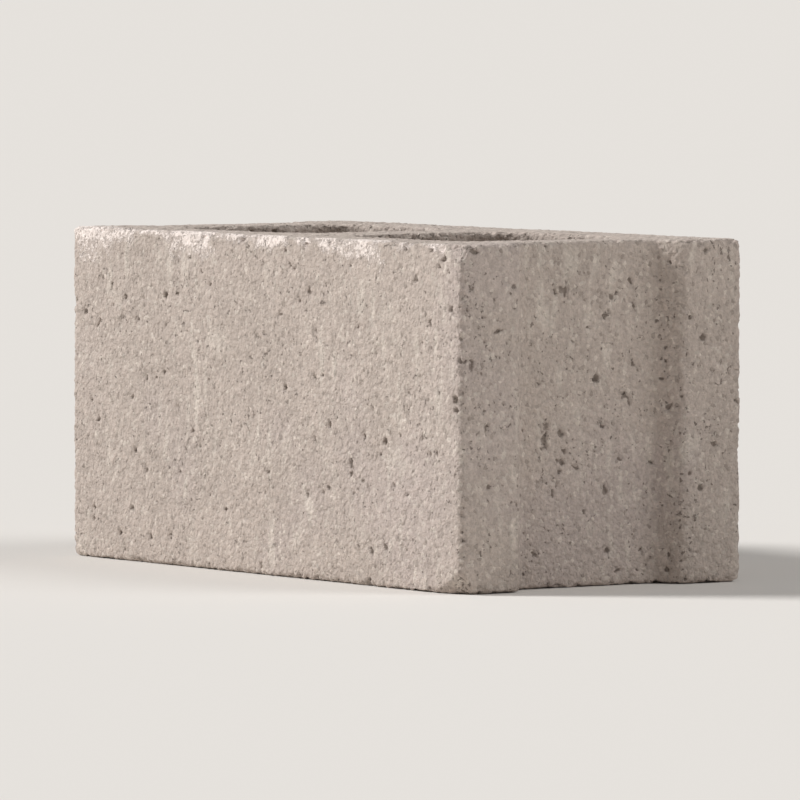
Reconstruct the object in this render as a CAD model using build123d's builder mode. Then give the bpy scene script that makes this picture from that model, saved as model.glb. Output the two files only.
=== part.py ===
"""Hollow concrete masonry block, the stretcher unit of a running-bond wall.

Millimetres. The origin is the centre of the bottom bed. +X runs along the block, -Y is the
face that shows in a wall, and +Z is up as the block is laid, with its thick shells on top.
"""

from build123d import *
import os

# Overall size: an 8 x 8 x 16 inch module less one mortar joint on each side
length = 396.9
width = 193.7
height = 193.7

# Walls, each measured where it is thinnest, at the bottom bed
face_shell = 32.0
end_web = 30.0
centre_web = 29.0

# Flanged ends: the shallow recess between the two ears that takes the head joint's mortar
recess_depth = 16.0
ear_width = 40.0
recess_slope = 11.0

# Cells: the mould's core bars are drafted, and flare out just below the top bed
cell_draft = 2.0
flare_height = 26.0
flare_inset = 4.5
end_corner_radius = 20.0
centre_corner_radius = 32.0

# Edges of a pressed unit
corner_radius = 3.0
ear_radius = 5.0
recess_radius = 9.0
bed_edge_radius = 1.6
rim_chamfer = 1.4

# Sizes that follow from the walls
cell_length = (length - centre_web) / 2 - recess_depth - end_web
cell_width = width - 2 * face_shell
cell_middle = (centre_web + cell_length) / 2
recess_mouth = width - 2 * ear_width
recess_floor = recess_mouth - 2 * recess_slope


def cell_section(level, inset, side):
    """Outline of one cell at a level; its two corners by the centre web are rounder."""
    with BuildSketch(Plane.XY.offset(level)) as section:
        with Locations((side * cell_middle, 0)):
            Rectangle(cell_length - 2 * inset, cell_width - 2 * inset)
        fillet(section.vertices().group_by(Axis.X)[0 if side > 0 else -1], radius=centre_corner_radius)
        fillet(section.vertices().group_by(Axis.X)[-1 if side > 0 else 0], radius=end_corner_radius)
    return section.sketch.face()


def is_outer_corner(corner):
    return abs(corner.Y) > width / 2 - ear_width / 2


def is_recess_corner(corner):
    return abs(corner.X) < length / 2 - recess_depth / 2


def is_ear_tip(corner):
    return not is_outer_corner(corner) and not is_recess_corner(corner)


with BuildPart() as concrete_block:
    # Plan of the unit: a rectangle with a splayed recess in each end
    with BuildSketch() as plan:
        Rectangle(length, width)
        recess = Polygon(
            (length / 2, recess_mouth / 2),
            (length / 2, -recess_mouth / 2),
            (length / 2 - recess_depth, -recess_floor / 2),
            (length / 2 - recess_depth, recess_floor / 2),
            align=None,
            mode=Mode.SUBTRACT,
        )
        mirror(recess, about=Plane.YZ, mode=Mode.SUBTRACT)
        fillet(plan.vertices().filter_by(is_outer_corner), radius=corner_radius)
        fillet(plan.vertices().filter_by(is_recess_corner), radius=recess_radius)
        fillet(plan.vertices().filter_by(is_ear_tip), radius=ear_radius)
    extrude(amount=height)

    # The two cells, each lofted from its wide mouth through the draft and into the flare
    for side in (-1, 1):
        mouth = cell_section(0, 0, side)
        shoulder = cell_section(height - flare_height, cell_draft, side)
        throat = cell_section(height, cell_draft + flare_inset, side)
        loft([mouth, shoulder, throat], ruled=True, mode=Mode.SUBTRACT)

    # Softened edges round the unit and round each cell, on both beds
    for outward in (Axis.Z, -Axis.Z):
        outline = concrete_block.faces().sort_by(outward)[-1].outer_wire()
        fillet(outline.edges(), radius=bed_edge_radius)
        rims = concrete_block.faces().sort_by(outward)[-1].inner_wires()
        chamfer(rims.edges(), length=rim_chamfer)

concrete_block.part.label = "concrete_block"

os.makedirs("parts", exist_ok=True)
export_step(concrete_block.part, "parts/concrete_block.step")
print(f"net {concrete_block.part.volume / 1e6:.3f} l, gross {length * width * height / 1e6:.3f} l")
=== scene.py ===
"""A hollow concrete masonry block as it looks after years in a wall, on a plain stage.

The block is one pressed piece. Its mesh is the fixed frame's own node, remeshed finely and then
weathered: worn arrises, pits, crumbled edges, and a crust of white bloom along the top arris
of the face that shows, which looks along -Y.
"""

import math
import random
from functools import partial

import bmesh
import bpy
import numpy as np
from bpy.props import FloatProperty, FloatVectorProperty, IntProperty, PointerProperty
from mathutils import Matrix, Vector, kdtree, noise


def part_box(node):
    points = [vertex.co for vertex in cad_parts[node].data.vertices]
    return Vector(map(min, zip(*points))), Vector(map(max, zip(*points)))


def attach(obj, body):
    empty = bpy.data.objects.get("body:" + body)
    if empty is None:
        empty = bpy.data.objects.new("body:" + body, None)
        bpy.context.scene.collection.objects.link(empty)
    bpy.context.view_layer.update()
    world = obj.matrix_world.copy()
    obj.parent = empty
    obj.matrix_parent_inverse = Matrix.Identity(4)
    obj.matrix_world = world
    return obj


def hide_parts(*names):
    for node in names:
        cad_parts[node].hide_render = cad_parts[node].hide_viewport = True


bl_info = {
    "name": "Hollow Concrete Block",
    "version": (1, 0, 0),
    "blender": (4, 5, 0),
    "location": "3D View > Sidebar > Block",
    "description": "Weathers a hollow concrete block on its fixed frame, and sets its stage",
    "category": "Add Mesh",
}

MM = 0.001
NODE = "concrete_block"
BODY = "root"
MAP_NAME = "OFBake"  # the name of the flat map that pictures of the surface are baked through
RAGGED_REACH = 1.6  # the most radii that a ragged ball may reach from its centre

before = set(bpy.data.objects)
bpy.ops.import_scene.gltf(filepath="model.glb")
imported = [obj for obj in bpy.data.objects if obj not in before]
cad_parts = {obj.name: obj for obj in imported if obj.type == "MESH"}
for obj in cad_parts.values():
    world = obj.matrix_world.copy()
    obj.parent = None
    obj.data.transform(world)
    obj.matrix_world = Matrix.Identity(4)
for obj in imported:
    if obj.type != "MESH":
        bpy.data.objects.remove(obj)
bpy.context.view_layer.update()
BLOCK_LOW, BLOCK_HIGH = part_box(NODE)
BLOCK_MIDDLE = (BLOCK_LOW + BLOCK_HIGH) / 2

# Pits that stand out on the showing face, in millimetres: how far along it from its left end,
# how far up it from the bottom bed, and how wide the pit is
FACE_PITS = (
    (58, 154, 3.6),
    (55, 142, 2.6),
    (72, 141, 2.8),
    (100, 156, 4.0),
    (145, 109, 2.8),
    (224, 108, 3.4),
    (128, 79, 3.0),
    (68, 65, 3.0),
    (80, 54, 3.0),
    (115, 55, 2.4),
    (24, 30, 3.0),
    (303, 84, 2.8),
    (323, 82, 4.2),
    (367, 77, 3.0),
    (267, 53, 3.4),
    (310, 20, 4.2),
    (391, 108, 5.0),
    (392, 102, 4.4),
    (31, 192, 2.4),
    (46, 192, 2.4),
    (140, 191, 3.2),
    (150, 193, 2.6),
    (179, 191, 4.2),
    (197, 192, 2.6),
    (244, 190, 4.8),
    (269, 191, 3.0),
    (280, 192, 2.6),
    (334, 192, 2.6),
    (343, 190, 3.4),
    (358, 192, 2.4),
    (368, 190, 3.2),
    (380, 193, 2.6),
    (376, 181, 2.6),
    (385, 178, 2.2),
)

# Corners broken off the showing face, in millimetres: how far along it and how far up it the
# corner is, and how far the break reaches along it, into the block, and up or down it
CORNER_BREAKS = (
    (397, 194, (19, 9, 13)),
    (397, 0, (25, 13, 14)),
    (0, 194, (7, 6, 6)),
)

# Bites out of the showing face's outline: how far along it and up it they are, and how wide
ARRIS_BITES = (
    (397, 101, 4),
    (378, 191, 8),
    (368, 194, 8),
    (357, 193, 7),
    (345, 194, 10),
    (334, 194, 6),
    (280, 194, 7),
    (269, 194, 8),
    (258, 193, 6),
    (244, 194, 11),
    (232, 194, 6),
    (197, 193, 6),
    (186, 194, 7),
    (179, 193, 10),
    (150, 194, 8),
    (140, 194, 9),
    (131, 194, 5),
    (97, 194, 5),
    (46, 194, 6),
    (31, 194, 6),
    (68, 0, 6),
    (203, 0, 5),
    (232, 0, 4),
    (301, 0, 6),
)

# Bloom along the top arris, in millimetres: where each smear starts and ends, and how far down
# the face it reaches
BLOOM_SMEARS = (
    (4, 40, 16),
    (38, 66, 8),
    (66, 106, 3.5),
    (106, 150, 13),
    (156, 182, 4.5),
    (188, 222, 7),
    (232, 246, 4),
    (256, 292, 8),
    (288, 322, 12),
    (336, 350, 4),
    (362, 384, 3),
)

# The flat map's rows, from the bottom up. Each place in a row takes one set of triangles: where
# they are (0 is outside, 1 and 2 are in the right and left cells), the axis that they face along
# (0, 1 and 2 are X, Y and Z), and which way along it
MAP_ROWS = (
    ((0, 1, -1), (0, 2, 1)),
    ((0, 1, 1), (0, 2, -1)),
    ((0, 0, 1), (1, 0, -1), (1, 0, 1), (1, 1, -1), (1, 1, 1)),
    ((0, 0, -1), (2, 0, -1), (2, 0, 1), (2, 1, -1), (2, 1, 1)),
)


def linear(code):
    """An sRGB hex colour as linear red, green and blue."""
    shades = (int(code[i : i + 2], 16) / 255 for i in (1, 3, 5))
    return tuple(s / 12.92 if s <= 0.04045 else ((s + 0.055) / 1.055) ** 2.4 for s in shades)


def length(name, default, description):
    """A property for a length, given in millimetres and held in metres."""
    return FloatProperty(
        name=name,
        description=description,
        default=default * MM,
        min=0,
        precision=5,
        subtype="DISTANCE",
        unit="LENGTH",
    )


def colour(name, code, description):
    """A property for a colour, given as an sRGB hex value and held as a linear one."""
    return FloatVectorProperty(
        name=name,
        description=description,
        default=linear(code),
        min=0,
        max=1,
        size=3,
        subtype="COLOR",
    )


def number(name, default, description):
    """A property for a number of things."""
    return IntProperty(name=name, description=description, default=default, min=0)


def light(name, default, description):
    """A property for the strength of a light."""
    return FloatProperty(name=name, description=description, default=default, min=0)


def angle(name, default, description):
    """A property for an angle, given in degrees and held in radians."""
    return FloatProperty(
        name=name,
        description=description,
        default=math.radians(default),
        subtype="ANGLE",
        unit="ROTATION",
    )


class BlockFinish(bpy.types.PropertyGroup):
    """Sizes and colours of the block's surface."""

    mesh_step: length("Mesh Step", 1.3, "Spacing of the mesh before it is thinned out")
    triangles: number("Triangles", 192000, "Most triangles the block may have")
    arris_wear: length("Arris Wear", 1.5, "How far the edges are rubbed back")
    swell: length("Swell", 0.25, "Depth of the slow unevenness of every face")
    coarse_grain: length("Coarse Grain", 4.4, "Width of the coarse grains that voids lie between")
    grain_relief: length("Grain Relief", 0.8, "How far a coarse grain stands out of open texture")
    sand_relief: length("Sand Relief", 0.3, "Depth of the sand's relief")
    void_depth: length("Void Depth", 1.4, "Depth of the voids where coarse grains meet")
    pits: number("Pits", 90, "Pits scattered over the whole block")
    pit_width: length("Pit Width", 3.0, "Width of a common pit")
    bites: number("Arris Bites", 800, "Crumbled places scattered along the edges")
    bite_width: length("Bite Width", 4.0, "Width of a common crumbled place")
    crust: length("Bloom Crust", 0.5, "Thickness of the white bloom at its thickest")
    sand_grain: length("Sand Grain", 2.1, "Width of the sand grains at the surface")
    seed: number("Seed", 11, "Draw of the pits and bites")
    paste: colour("Cement Paste", "#C1B3A9", "Buff body of the concrete")
    grey_patch: colour("Grey Patch", "#B2A59B", "Greyer patches, where the face is more open")
    lilac_patch: colour("Lilac Patch", "#BFB0AE", "Faint lilac tint left by lime")
    dark_grain: colour("Dark Grain", "#857A70", "Dark sand grains")
    pale_grain: colour("Pale Grain", "#DDD2C6", "Pale sand grains")
    # Painted shade: the dark colour laid into the pits, voids and pores in place of the shade that
    # falls in them
    hollow: colour("Hollow", "#6B6057", "Bottoms of the pits and pores")
    haze: colour("Bloom Haze", "#D6C9C1", "Thin haze of lime round the bloom")
    bloom: colour("Bloom", "#F3E6DE", "White lime bloom")


class BlockStage(bpy.types.PropertyGroup):
    """Floor, light and camera."""

    floor_size: length("Floor Size", 400000, "Width of the floor")
    floor: colour("Floor", "#E4E0DB", "Pale floor")
    key: light("Key Light", 2.85, "Strength of the soft light from the upper left")
    fill: light("Fill Light", 0.9, "Strength of the weak light from behind on the right")
    sky: light("Sky", 0.25, "Strength of the even light from all round")
    azimuth: angle("Azimuth", 55.3, "Camera's turn round the block, from square to the face")
    elevation: angle("Elevation", 2.96, "Camera's height as an angle")
    distance: length("Distance", 5175, "From the camera to the middle of the block")
    field: length("Field Width", 460, "Width of what the camera sees at the block")


def read(items, key, width=3):
    """One property of many items, such as where the vertices are, as an array with a row for each."""
    flat = np.empty(len(items) * width, dtype=np.float32)
    items.foreach_get(key, flat)
    return flat.reshape(-1, 3).astype(float) if width == 3 else flat.astype(float)


def store(mesh, name, values):
    """Keeps one number or one vector for each vertex, for later steps and for the material."""
    kind, key = ("FLOAT_VECTOR", "vector") if values.ndim == 2 else ("FLOAT", "value")
    layer = mesh.attributes.get(name) or mesh.attributes.new(name, kind, "POINT")
    layer.data.foreach_set(key, values.astype(np.float32).ravel())


def stored(mesh, name):
    """The numbers or vectors that were kept under a name."""
    layer = mesh.attributes[name]
    key, width = ("vector", 3) if layer.data_type == "FLOAT_VECTOR" else ("value", 1)
    return read(layer.data, key, width)


def shaped(piece, kind, **settings):
    """The piece's mesh as a modifier leaves it, with the piece itself unchanged."""
    modifier = piece.modifiers.new(kind, kind)
    for name, value in settings.items():
        setattr(modifier, name, value)
    depsgraph = bpy.context.evaluated_depsgraph_get()
    mesh = bpy.data.meshes.new_from_object(piece.evaluated_get(depsgraph))
    piece.modifiers.clear()
    return mesh


def reshape(piece, kind, **settings):
    """Applies one modifier to the piece."""
    old = piece.data
    piece.data = shaped(piece, kind, **settings)
    bpy.data.meshes.remove(old)


def lumps(places, size, octaves, draw, roughness=0.5):
    """Fractal noise from about -1 to 1, with its largest lumps about as wide as size."""
    shift = Vector((draw * 7.31, draw * 3.17, draw * 5.83))
    fall = -math.log2(roughness)
    return np.array([noise.fractal(Vector(p) / size + shift, fall, 2.0, octaves) for p in places])


def smooth_step(low, high, values):
    """A step from 0 to 1 between two values, eased at both ends."""
    share = np.clip((values - low) / (high - low), 0, 1)
    return share * share * (3 - 2 * share)


def fine_copy(finish):
    """A new piece on the frame node's own surface, with an even fine mesh."""
    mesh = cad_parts[NODE].data.copy()
    solid = bmesh.new()
    solid.from_mesh(mesh)
    bmesh.ops.remove_doubles(solid, verts=solid.verts, dist=0.001 * MM)
    solid.to_mesh(mesh)
    solid.free()
    mesh.materials.clear()
    piece = bpy.data.objects.new("pressed_concrete_block", mesh)
    bpy.context.scene.collection.objects.link(piece)
    step = finish.mesh_step * 1
    reshape(piece, "REMESH", mode="VOXEL", voxel_size=step)
    hug_frame(piece)
    return piece


def hug_frame(piece):
    """Puts every vertex back on the frame node's surface."""
    reshape(piece, "SHRINKWRAP", target=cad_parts[NODE], wrap_method="NEAREST_SURFACEPOINT")


def refine(piece, wanted):
    """Splits the edges of every face that has a wanted vertex."""
    mesh = bmesh.new()
    mesh.from_mesh(piece.data)
    chosen = (face for face in mesh.faces if any(wanted[v.index] for v in face.verts))
    edges = list(dict.fromkeys(edge for face in chosen for edge in face.edges))
    bmesh.ops.subdivide_edges(mesh, edges=edges, cuts=1, use_grid_fill=True)
    mesh.to_mesh(piece.data)
    mesh.free()


def mark_arrises(piece, rounds, reach):
    """Stores how sharply each vertex stands out, from 0 to 1, and the way back in.

    Both come from where the vertex would go if the piece were smoothed.
    """
    mesh = piece.data
    soft = shaped(piece, "SMOOTH", factor=0.5, iterations=rounds)
    back = read(soft.vertices, "co") - read(mesh.vertices, "co")
    bpy.data.meshes.remove(soft)
    out = -(back * read(mesh.vertices, "normal")).sum(axis=1)
    store(mesh, "arris", np.clip(out / reach, 0, 1))
    store(mesh, "back", back)


def openness(places, outward, arris):
    """How open the texture is, from 0 to 1.

    It is tight on the faces and ends, where the mould slid past, and more open on the beds, in
    the cells and on edges.
    """
    half = np.array((BLOCK_HIGH - BLOCK_LOW) / 2)
    gap = half - np.abs(places - np.array(BLOCK_MIDDLE))
    skin = 5 * MM
    face = (gap[:, 1] < skin) & (np.abs(outward[:, 1]) > 0.6)
    bed = (gap[:, 2] < skin) & (np.abs(outward[:, 2]) > 0.6)
    end = gap[:, 0] < 22 * MM

    # Shares for the faces, the beds, the ends and the cells, before they are made uneven
    share = np.where(face, 0.07, np.where(bed, 0.6, np.where(end, 0.16, 0.3)))
    share = share + 0.45 * lumps(places, 45 * MM, 2, draw=1) + 0.35 * arris
    return np.clip(share, 0, 1)


def packing(places, grain, open_share):
    """How far each point is from its coarse grain's middle, and how deep in a void between three.

    The first is in grain widths. The second is 0 at a void's rim and more inside it.
    """
    middle, meeting = np.empty(len(places)), np.empty(len(places))
    for index, place in enumerate(places):
        near = noise.voronoi(Vector(place) / grain)[0]
        middle[index], meeting[index] = near[0], near[2] - near[0]
    room = 1.4 * (lumps(places, 1.6 * grain, 2, draw=5) - 0.56 + 0.5 * open_share)
    return middle, np.clip(room, -1, 0.42) - meeting


def face_point(along, up, proud=0.0):
    """A point on the showing face, or so many millimetres in front of it."""
    return Vector((BLOCK_LOW.x + along * MM, BLOCK_LOW.y - proud * MM, BLOCK_LOW.z + up * MM))


def chosen_bites():
    """Centre and radius of the balls that take the chosen bites out of the showing face's outline.

    Each centre is a little outside the block, so that the bite opens outwards.
    """
    balls = []
    for along, up, width in ARRIS_BITES:
        away = Vector((along > 390, 0.8, 1 if up > 97 else -1)).normalized() * 0.07 * width
        balls.append((face_point(along + away.x, up + away.z, proud=away.y), 0.5 * width * MM))
    return balls


def scattered_balls(rng, places, outward, weights, count, width, proud=0.0):
    """Centre and radius of balls of uneven size, at vertices drawn by weight.

    Each centre stands out of the surface by about so large a share of the radius as proud says.
    """
    balls = []
    for index in rng.choices(range(len(places)), weights=weights, k=count):
        radius = 0.5 * width * min(rng.lognormvariate(0, 0.35), 2)
        centre = places[index] + outward[index] * radius * proud * rng.uniform(0.6, 1.2)
        balls.append((Vector(centre), radius))
    return balls


def within(places, balls, spread):
    """For each ball, its centre, its radius and the vertices that lie within so many radii of it."""
    tree = kdtree.KDTree(len(places))
    for index, place in enumerate(places):
        tree.insert(place, index)
    tree.balance()
    for centre, radius in balls:
        yield centre, radius, [index for _, index, _ in tree.find_range(centre, radius * spread)]


def ragged(place, radius):
    """A ball's radius towards a place: lumpy, as a broken edge is."""
    return radius * (1 + 0.5 * noise.fractal(place / (0.7 * radius + 0.8 * MM), 0.8, 2.0, 2))


def pit_depths(places, balls):
    """Depth of the pits that popped-out grains left, with steep ragged sides."""
    depth = np.zeros(len(places))
    for centre, radius, found in within(places, balls, spread=RAGGED_REACH):
        for index in found:
            spot = Vector(places[index])
            share = (spot - centre).length / ragged(spot, radius)
            if share < 1:
                depth[index] = max(depth[index], 1.2 * radius * math.sqrt(1 - share**2))
    return depth


def bite_out(places, balls):
    """Pushes the vertices inside each ragged ball out to its surface, as a grain leaves its bed."""
    for centre, radius, found in within(places, balls, spread=RAGGED_REACH):
        for index in found:
            away = Vector(places[index]) - centre
            reach = ragged(Vector(places[index]), radius)
            if 1e-7 < away.length < reach:
                places[index] = centre + away * (reach / away.length)
    return places


def break_off(places, corner, reach):
    """Breaks a corner off along a rough plane that meets its three edges so far from it.

    Gives the depth of what is broken away.
    """
    corner, reach = np.array(corner), np.array(reach) * MM
    slope = np.sign(corner - np.array(BLOCK_MIDDLE)) / reach
    steepness = np.linalg.norm(slope)
    beyond = ((places - corner) @ slope + 1) / steepness
    near = np.flatnonzero(beyond > -1.5 * MM)
    depth = np.zeros(len(places))
    rough = 0.9 * MM * lumps(places[near], 6 * MM, 3, draw=8, roughness=0.65)
    depth[near] = np.clip(beyond[near] + rough, 0, None)
    places -= slope / steepness * depth[:, None]
    return depth


def bloom_strength(places):
    """How thick the white bloom is, from 0 to 1, in smears that hang from the top arris."""
    along = (places[:, 0] - BLOCK_LOW.x) / MM
    down = (BLOCK_HIGH.z - places[:, 2]) / MM
    inward = (places[:, 1] - BLOCK_LOW.y) / MM
    strength = np.zeros(len(places))
    near = np.flatnonzero((down < 25) & (inward < 25))
    uneven = lumps(places[near], 9 * MM, 3, draw=2)
    along = along[near] + 9 * lumps(places[near], 11 * MM, 3, draw=3, roughness=0.6)
    away = np.hypot(down[near], 1.3 * inward[near]) - 0.4
    for start, end, reach in BLOOM_SMEARS:
        sides = smooth_step(start - 8, start + 6, along) * smooth_step(-end - 8, -end + 6, -along)
        smear = sides * (1 - smooth_step(0.45, 1.45 + 0.7 * uneven, away / reach))
        strength[near] = np.maximum(strength[near], smear)
    return np.clip(strength, 0, 1)


def weather(piece, finish):
    """Rubs, pits and crumbles the piece, always inwards, and lays the bloom on."""
    # Where the pits, bites and broken corners are
    rng = random.Random(finish.seed)
    mark_arrises(piece, rounds=40, reach=1.2 * MM)
    mesh = piece.data
    places, outward = read(mesh.vertices, "co"), read(mesh.vertices, "normal")
    arris = stored(mesh, "arris")
    open_share = openness(places, outward, arris)
    pits = [(face_point(along, up), 0.5 * width * MM) for along, up, width in FACE_PITS]
    plain = open_share * (arris < 0.2) * (outward[:, 1] > -0.6)
    pits += scattered_balls(rng, places, outward, plain, finish.pits, finish.pit_width)
    sharp = (arris > 0.55) * (0.2 + open_share)
    bites = chosen_bites()
    bites += scattered_balls(rng, places, outward, sharp, finish.bites, finish.bite_width, proud=0.55)
    corners = [(face_point(along, up), reach) for along, up, reach in CORNER_BREAKS]

    # A finer mesh on arrises and round voids, pits, bites and broken corners
    wanted = (arris > 0.2) | (packing(places, finish.coarse_grain, open_share)[1] > -0.07)
    balls = pits + bites + [(corner, max(reach) * MM) for corner, reach in corners]
    for _, _, found in within(places, balls, spread=1.4):
        wanted[found] = True
    refine(piece, wanted)
    hug_frame(piece)

    # Arrises are rubbed back unevenly
    mesh = piece.data
    skin, outward = read(mesh.vertices, "co"), read(mesh.vertices, "normal")
    arris, back = stored(mesh, "arris"), stored(mesh, "back")
    open_share = openness(skin, outward, arris)
    rough = 0.5 + lumps(skin, 16 * MM, 3, draw=4)
    gritty = lumps(skin, 4.5 * MM, 3, draw=7, roughness=0.6)
    wear = arris * np.clip(0.2 + 0.5 * rough + 0.75 * gritty, 0, 1.7)
    wear_depth = finish.arris_wear * wear[:, None]
    places = skin + back / (np.linalg.norm(back, axis=1, keepdims=True) + 1e-9) * wear_depth

    # The surface sinks by its swell, between its grains, and in voids and pits
    middle, voids = packing(skin, finish.coarse_grain, open_share)
    swell = finish.swell * np.clip(0.5 + lumps(skin, 60 * MM, 2, draw=6), 0, 1)
    grains = finish.grain_relief * middle**2 * (0.1 + 0.9 * open_share)
    sand = finish.sand_relief * np.clip(0.5 + gritty, 0, 1) * (0.3 + 0.7 * open_share)
    hollow = np.maximum(finish.void_depth * smooth_step(0, 0.14, voids), pit_depths(skin, pits))
    places -= outward * (swell + grains + sand + hollow)[:, None]

    # Grains and corners are gone, and the bloom lies on what is left
    places = bite_out(places, bites)
    broken = sum(break_off(places, *corner) for corner in corners)
    bloom = bloom_strength(skin)
    places += outward * (finish.crust * bloom * np.clip(0.8 + gritty, 0, 1))[:, None]

    put(mesh, places)
    # How deep the voids and pits go, kept for the material's painted shade in them
    store(mesh, "hollow", np.clip(hollow / (1.5 * MM), 0, 1))
    store(mesh, "open", np.maximum(open_share, 0.8 * smooth_step(0, 0.6 * MM, broken)))
    store(mesh, "bloom", bloom)
    store(mesh, "skin", skin)
    for name in ("arris", "back"):
        mesh.attributes.remove(mesh.attributes[name])


def put(mesh, places):
    """Moves the vertices to these places, kept inside the frame node's own box."""
    places = np.clip(places, np.array(BLOCK_LOW), np.array(BLOCK_HIGH))
    mesh.vertices.foreach_set("co", places.astype(np.float32).ravel())
    mesh.update()


def thin_out(piece, most):
    """Thins the mesh to at most so many triangles, where it is flattest first."""
    triangles = sum(len(face.vertices) - 2 for face in piece.data.polygons)
    if triangles > most:
        reshape(piece, "DECIMATE", ratio=most / triangles)
        put(piece.data, read(piece.data.vertices, "co"))


def cut_to_triangles(piece):
    """Cuts every face into triangles, and drops any two that lie back to back."""
    mesh = bmesh.new()
    mesh.from_mesh(piece.data)
    bmesh.ops.triangulate(mesh, faces=mesh.faces)
    fins = [corner for corner in mesh.verts if len(corner.link_faces) < 3]
    bmesh.ops.delete(mesh, geom=fins, context="VERTS")
    mesh.to_mesh(piece.data)
    mesh.free()


def ease_folds(piece, sharpest, rounds):
    """Smooths the mesh a little wherever it still folds more sharply than a broken grain can."""
    mesh = bmesh.new()
    mesh.from_mesh(piece.data)
    axes = {"use_axis_x": True, "use_axis_y": True, "use_axis_z": True}
    for _ in range(rounds):
        folds = (edge for edge in mesh.edges if edge.calc_face_angle(0) > sharpest)
        corners = list(dict.fromkeys(corner for edge in folds for corner in edge.verts))
        bmesh.ops.smooth_vert(mesh, verts=corners, factor=0.5, **axes)
    mesh.to_mesh(piece.data)
    mesh.free()


def lay_out_map(piece, gap):
    """Lays the triangles out flat on a square sheet, so that pictures baked through it are sharp.

    Each side, bed and cell wall has a place of its own, with a gap in millimetres round it. It goes
    by where each vertex was before the weathering, so pits and voids don't fold over.
    """
    mesh = piece.data
    skin = (stored(mesh, "skin") - np.array(BLOCK_MIDDLE)) / MM
    corner = skin[[loop.vertex_index for loop in mesh.loops]].reshape(-1, 3, 3)
    middle = corner.mean(axis=1)
    normal = np.cross(corner[:, 1] - corner[:, 0], corner[:, 2] - corner[:, 0])

    # Which room each triangle is in, the axis it faces along and which way. In millimetres from the
    # block's middle, the cells' walls are within 167 along it and 80 across it, and whatever else
    # is upright and within 90 across it is one of the ends
    steep, off = np.abs(normal), np.abs(middle)
    bed = steep[:, 2] > 0.7 * np.linalg.norm(normal, axis=1)
    cell = ~bed & (off[:, 0] < 167) & (off[:, 1] < 80)
    end = ~bed & ~cell & (off[:, 1] < 90)
    axis = np.where(bed, 2, np.where(end | (steep[:, 0] > steep[:, 1]), 0, 1))
    way = np.where(normal[np.arange(len(axis)), axis] < 0, -1, 1)
    room = cell * (1 + (middle[:, 0] < 0))
    kinds = np.stack((room, axis, way), axis=1)

    # Each triangle seen square on, with the splayed sides of the recesses in the ends unrolled
    x, y, z = np.moveaxis(corner, 2, 0)
    room, axis, way = room[:, None], axis[:, None], way[:, None]
    unrolled = np.sign(y) * np.interp(np.abs(y), (0, 46, 57, 97), (0, 46, 65, 105))
    y = np.where((room == 0) & (axis == 0), unrolled, y)
    across = np.where(axis == 0, y * way, np.where(axis == 1, -x * way, x))
    up = np.where(axis == 2, y * way, z)

    # The places in the sheet's rows, one after another
    flat = np.zeros((*up.shape, 2))
    low = gap
    for row in MAP_ROWS:
        left = gap
        for kind in row:
            mine = (kinds == kind).all(axis=1)
            flat[mine, :, 0] = left + across[mine] - across[mine].min()
            flat[mine, :, 1] = low + up[mine] - up[mine].min()
            left = flat[mine, :, 0].max() + gap
        low = flat[:, :, 1].max() + gap
    layer = mesh.uv_layers.new(name=MAP_NAME)
    layer.uv.foreach_set("vector", (flat / (flat.max() + gap)).astype(np.float32).ravel())
    mesh.attributes.remove(mesh.attributes["skin"])


def add(tree, kind, inputs=(), **settings):
    """Adds a node with its settings and links.

    Each input is a value, a socket or a node, whose first result is then meant. They are given in
    the order of the node's sockets, or by name or number.
    """
    node = tree.nodes.new("ShaderNode" + kind)
    for name, value in settings.items():
        setattr(node, name, value)
    for name, value in inputs.items() if isinstance(inputs, dict) else enumerate(inputs):
        if isinstance(value, bpy.types.Node):
            value = next(socket for socket in value.outputs if socket.enabled)
        if isinstance(value, bpy.types.NodeSocket):
            tree.links.new(value, node.inputs[name])
        else:
            node.inputs[name].default_value = value
    return node


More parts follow.
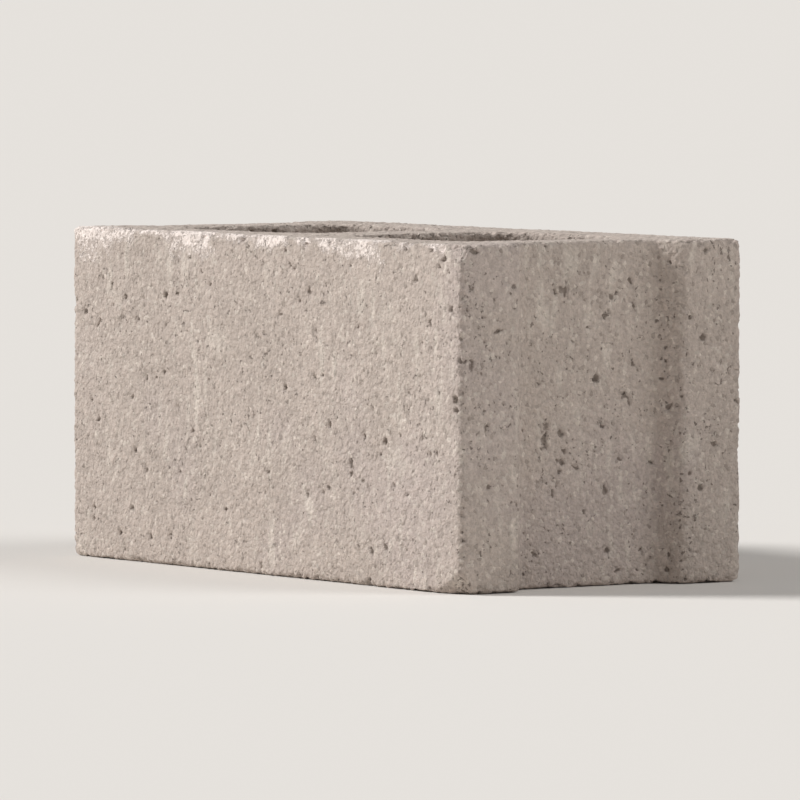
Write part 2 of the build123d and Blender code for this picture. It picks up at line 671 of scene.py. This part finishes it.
def pressed_concrete(finish):
    """Pressed zero-slump concrete: sand and cement struck in a steel mould and stripped at once.

    The eye sees a dry, matt, sandy face: grains in buff paste, each a little lighter or darker,
    small voids where grains meet, darkened with painted shade, and faint paler drag marks up and
    down the moulded faces.
    """
    material = bpy.data.materials.new("Pressed buff concrete")
    material.use_nodes = True
    tree = material.node_tree
    tree.nodes.clear()
    node = partial(add, tree)
    smooth = {"interpolation_type": "SMOOTHSTEP"}
    place = node("TexCoord").outputs["Object"]
    kept = {}
    for name in ("open", "hollow", "bloom"):
        kept[name] = node("Attribute", attribute_name=name).outputs["Fac"]

    # Noise for each size of thing in the surface: its width in millimetres, detail and roughness
    sizes = {
        "patch": (70, 2, 0.5),
        "tint": (110, 2, 0.5),
        "streaky": (50, 2, 0.5),
        "cluster": (12, 3, 0.5),
        "smear": (9, 3, 0.6),
        "clump": (5.5, 3, 0.62),
        "speck": (2.9, 2, 0.55),
        "pore": (2.4, 2, 0.5),
        "crumb": (2.4, 3, 0.65),
        "fine": (1.0, 2, 0.6),
    }
    waves = {}
    for name, (width, detail, roughness) in sizes.items():
        inputs = {"Vector": place, "Scale": 1 / (width * MM)}
        waves[name] = node("TexNoise", inputs | {"Detail": detail, "Roughness": roughness})

    # Drag marks, 7 mm wide and 28 mm tall, where the mould slid off the face
    marks = (1 / (7 * MM), 1 / (7 * MM), 1 / (28 * MM))
    stretched = node("VectorMath", (place, marks), operation="MULTIPLY")
    drag = node("TexNoise", {"Vector": stretched, "Scale": 1.0, "Detail": 1.0})
    drag = node("MapRange", (drag, 0.5, 0.74), **smooth)
    streaky = node("MapRange", (waves["streaky"], 0.42, 0.62, 0, 0.6), **smooth)
    drag = node("Math", (drag, streaky), operation="MULTIPLY")

    # Sand: each grain has its own shade, and a few are clearly dark or pale
    grain = node("TexVoronoi", {"Vector": place, "Scale": 1 / finish.sand_grain})
    chance = node("SeparateColor", (grain.outputs["Color"],)).outputs
    grain_shade = node("MapRange", (chance["Red"], 0, 1, 0.91, 1.07))
    clump_shade = node("MapRange", (waves["clump"], 0.25, 0.75, 0.92, 1.08))
    speck_shade = node("MapRange", (waves["speck"], 0.25, 0.75, 0.9, 1.1))
    fine_shade = node("MapRange", (waves["fine"], 0.3, 0.7, 0.93, 1.07))
    shade = grain_shade
    for other in (clump_shade, fine_shade, speck_shade):
        shade = node("Math", (shade, other), operation="MULTIPLY")
    dark = node("MapRange", (chance["Green"], 0.93, 0.99, 0, 0.45), **smooth)
    pale = node("MapRange", (chance["Blue"], 0.85, 0.97, 0, 0.5), **smooth)

    # Pores a pinhead wide, in clusters, and more of them where the texture is open. The coats below
    # darken them with painted shade
    cluster = node("MapRange", (waves["cluster"], 0.3, 0.7, -0.08, 0.08))
    opened = node("MapRange", (kept["open"], 0, 1, -0.03, 0.05))
    crowd = node("Math", (cluster, opened), operation="ADD")
    pore = node("Math", (waves["pore"], crowd), operation="ADD")
    pore = node("MapRange", (pore, 0.65, 0.72), **smooth)

    # Bloom: a thin film of lime, with a chalky crust that breaks up grain by grain
    uneven = node("MapRange", (waves["smear"], 0.3, 0.7, -0.4, 0.4))
    film = node("Math", (kept["bloom"], uneven), operation="ADD")
    film = node("MapRange", (film, 0.15, 0.9, 0, 0.55), **smooth)
    crumbs = node("MapRange", (waves["crumb"], 0.3, 0.7, -0.8, 0.8))
    crust = node("Math", (kept["bloom"], crumbs), operation="ADD")
    uneven = node("MapRange", (waves["smear"], 0.3, 0.7, -0.45, 0.45))
    crust = node("Math", (crust, uneven), operation="ADD")
    crust = node("MapRange", (crust, 0.6, 0.95), **smooth)
    smeared = node("MapRange", (kept["bloom"], 0.02, 0.25), **smooth)
    unbroken = node("Math", (1.0, pore), operation="SUBTRACT")
    for share in (smeared, unbroken):
        crust = node("Math", (crust, share), operation="MULTIPLY")

    # Colours laid over the paste one after another: how much of each, and which
    body = (*finish.paste, 1)
    coats = (
        (node("MapRange", (waves["patch"], 0.38, 0.66, 0, 0.35), **smooth), finish.grey_patch),
        (node("MapRange", (waves["tint"], 0.5, 0.7, 0, 0.25), **smooth), finish.lilac_patch),
        (drag, finish.pale_grain),
        (dark, finish.dark_grain),
        (pale, finish.pale_grain),
        # Painted shade: the Hollow colour darkens the pores, and the voids and pits by how deep they
        # go, in place of the shade that falls into them
        (node("MapRange", (pore, 0, 1, 0, 0.7)), finish.hollow),
        (node("MapRange", (kept["hollow"], 0.1, 0.8, 0, 0.55), **smooth), finish.hollow),
        (film, finish.haze),
        (crust, finish.bloom),
    )
    for share, tint in coats:
        body = node("Mix", {0: share, 6: body, 7: (*tint, 1)}, data_type="RGBA")
    body = node("VectorMath", {0: body, 3: shade}, operation="SCALE")

    # Relief in millimetres, from the clumps down to the fine sand
    height = node("Math", (waves["clump"], 1.6), operation="MULTIPLY")
    relief = (
        (waves["speck"], 1.0),
        (grain.outputs["Distance"], -0.5),
        (waves["fine"], 0.36),
        (pore, -0.45),
        (crust, 0.3),
    )
    for part, proud in relief:
        height = node("Math", (part, proud, height), operation="MULTIPLY_ADD")
    bump = node("Bump", {"Height": height, "Distance": MM, "Strength": 1.0})

    # The pale grains are bare quartz, a little smoother than the paste and the lime
    roughness = node("MapRange", (pale, 0, 0.5, 0.95, 0.78))

    inputs = {"Base Color": body, "Roughness": roughness, "IOR": 1.5, "Metallic": 0.0, "Normal": bump}
    node("OutputMaterial", {"Surface": node("BsdfPrincipled", inputs)})
    return material


def painted_floor(stage):
    """Matt studio paint: an even pale coat with no gloss."""
    material = bpy.data.materials.new("Matt pale studio floor")
    material.use_nodes = True
    tree = material.node_tree
    tree.nodes.clear()
    inputs = {"Base Color": (*stage.floor, 1), "Roughness": 1.0, "Specular IOR Level": 0.0}
    add(tree, "OutputMaterial", {"Surface": add(tree, "BsdfPrincipled", inputs)})
    return material


def even_sky(stage):
    """Light from all round. The camera sees the floor's colour behind the block."""
    world = bpy.data.worlds.new("Even studio light")
    world.use_nodes = True
    tree = world.node_tree
    tree.nodes.clear()
    seen = add(tree, "Background", {"Color": (*stage.floor, 1), "Strength": 1.0})
    cast = add(tree, "Background", {"Color": (1, 1, 1, 1), "Strength": stage.sky})
    camera_ray = add(tree, "LightPath").outputs["Is Camera Ray"]
    add(tree, "OutputWorld", {"Surface": add(tree, "MixShader", (camera_ray, cast, seen))})
    bpy.context.scene.world = world


def soft_sun(name, strength, towards, softness):
    """A broad, distant lamp that stands in a direction from the block."""
    lamp = bpy.data.lights.new(name, "SUN")
    lamp.energy = strength
    lamp.angle = math.radians(softness)
    holder = bpy.data.objects.new(name, lamp)
    holder.rotation_euler = Vector(towards).to_track_quat("Z", "Y").to_euler()
    bpy.context.scene.collection.objects.link(holder)


class BLOCK_OT_unit(bpy.types.Operator):
    """Build the weathered block on the frame's node"""

    bl_idname = "block.unit"
    bl_label = "Concrete Block"

    def execute(self, context):
        finish = context.scene.block_finish
        piece = fine_copy(finish)
        weather(piece, finish)
        thin_out(piece, finish.triangles)
        cut_to_triangles(piece)
        ease_folds(piece, sharpest=math.radians(90), rounds=15)
        lay_out_map(piece, gap=5.0)
        piece.data.shade_smooth()
        piece.data.materials.clear()
        piece.data.materials.append(pressed_concrete(finish))
        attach(piece, BODY)
        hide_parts(NODE)
        return {"FINISHED"}


class BLOCK_OT_stage(bpy.types.Operator):
    """Lay the floor, light it and set the camera"""

    bl_idname = "block.stage"
    bl_label = "Stage"

    def execute(self, context):
        scene = context.scene
        stage = scene.block_stage
        half = stage.floor_size / 2
        mesh = bpy.data.meshes.new("studio_floor")
        corners = [(-half, -half, 0), (half, -half, 0), (half, half, 0), (-half, half, 0)]
        mesh.from_pydata(corners, [], [(0, 1, 2, 3)])
        mesh.materials.append(painted_floor(stage))
        floor = bpy.data.objects.new("studio_floor", mesh)
        scene.collection.objects.link(floor)

        even_sky(stage)
        soft_sun("key_light", stage.key, (-0.50, -0.60, 0.62), 16)
        soft_sun("fill_light", stage.fill, (0.55, 0.45, 0.70), 30)

        turn, rise = stage.azimuth, stage.elevation
        level = math.cos(rise)
        back = Vector((math.sin(turn) * level, -math.cos(turn) * level, math.sin(rise)))
        camera = bpy.data.objects.new("camera", bpy.data.cameras.new("camera"))
        camera.location = BLOCK_MIDDLE + back * stage.distance
        camera.rotation_euler = (-back).to_track_quat("-Z", "Y").to_euler()
        camera.data.lens = camera.data.sensor_width * stage.distance / stage.field
        camera.data.clip_end = stage.floor_size
        scene.collection.objects.link(camera)
        scene.camera = camera
        scene.view_settings.view_transform = "Standard"
        return {"FINISHED"}


class BLOCK_PT_panel(bpy.types.Panel):
    """Lists the pieces and their settings"""

    bl_label = "Hollow Concrete Block"
    bl_idname = "BLOCK_PT_panel"
    bl_space_type = "VIEW_3D"
    bl_region_type = "UI"
    bl_category = "Block"

    def draw(self, context):
        for operator, group in ((BLOCK_OT_unit, "block_finish"), (BLOCK_OT_stage, "block_stage")):
            box = self.layout.box()
            box.operator(operator.bl_idname)
            settings = getattr(context.scene, group)
            for name in settings.__annotations__:
                box.prop(settings, name)


CLASSES = (BlockFinish, BlockStage, BLOCK_OT_unit, BLOCK_OT_stage, BLOCK_PT_panel)


def register():
    for item in CLASSES:
        bpy.utils.register_class(item)
    bpy.types.Scene.block_finish = PointerProperty(type=BlockFinish)
    bpy.types.Scene.block_stage = PointerProperty(type=BlockStage)


def unregister():
    del bpy.types.Scene.block_stage
    del bpy.types.Scene.block_finish
    for item in reversed(CLASSES):
        bpy.utils.unregister_class(item)


def main():
    register()
    bpy.ops.block.unit()
    bpy.ops.block.stage()


if __name__ == "__main__":
    main()
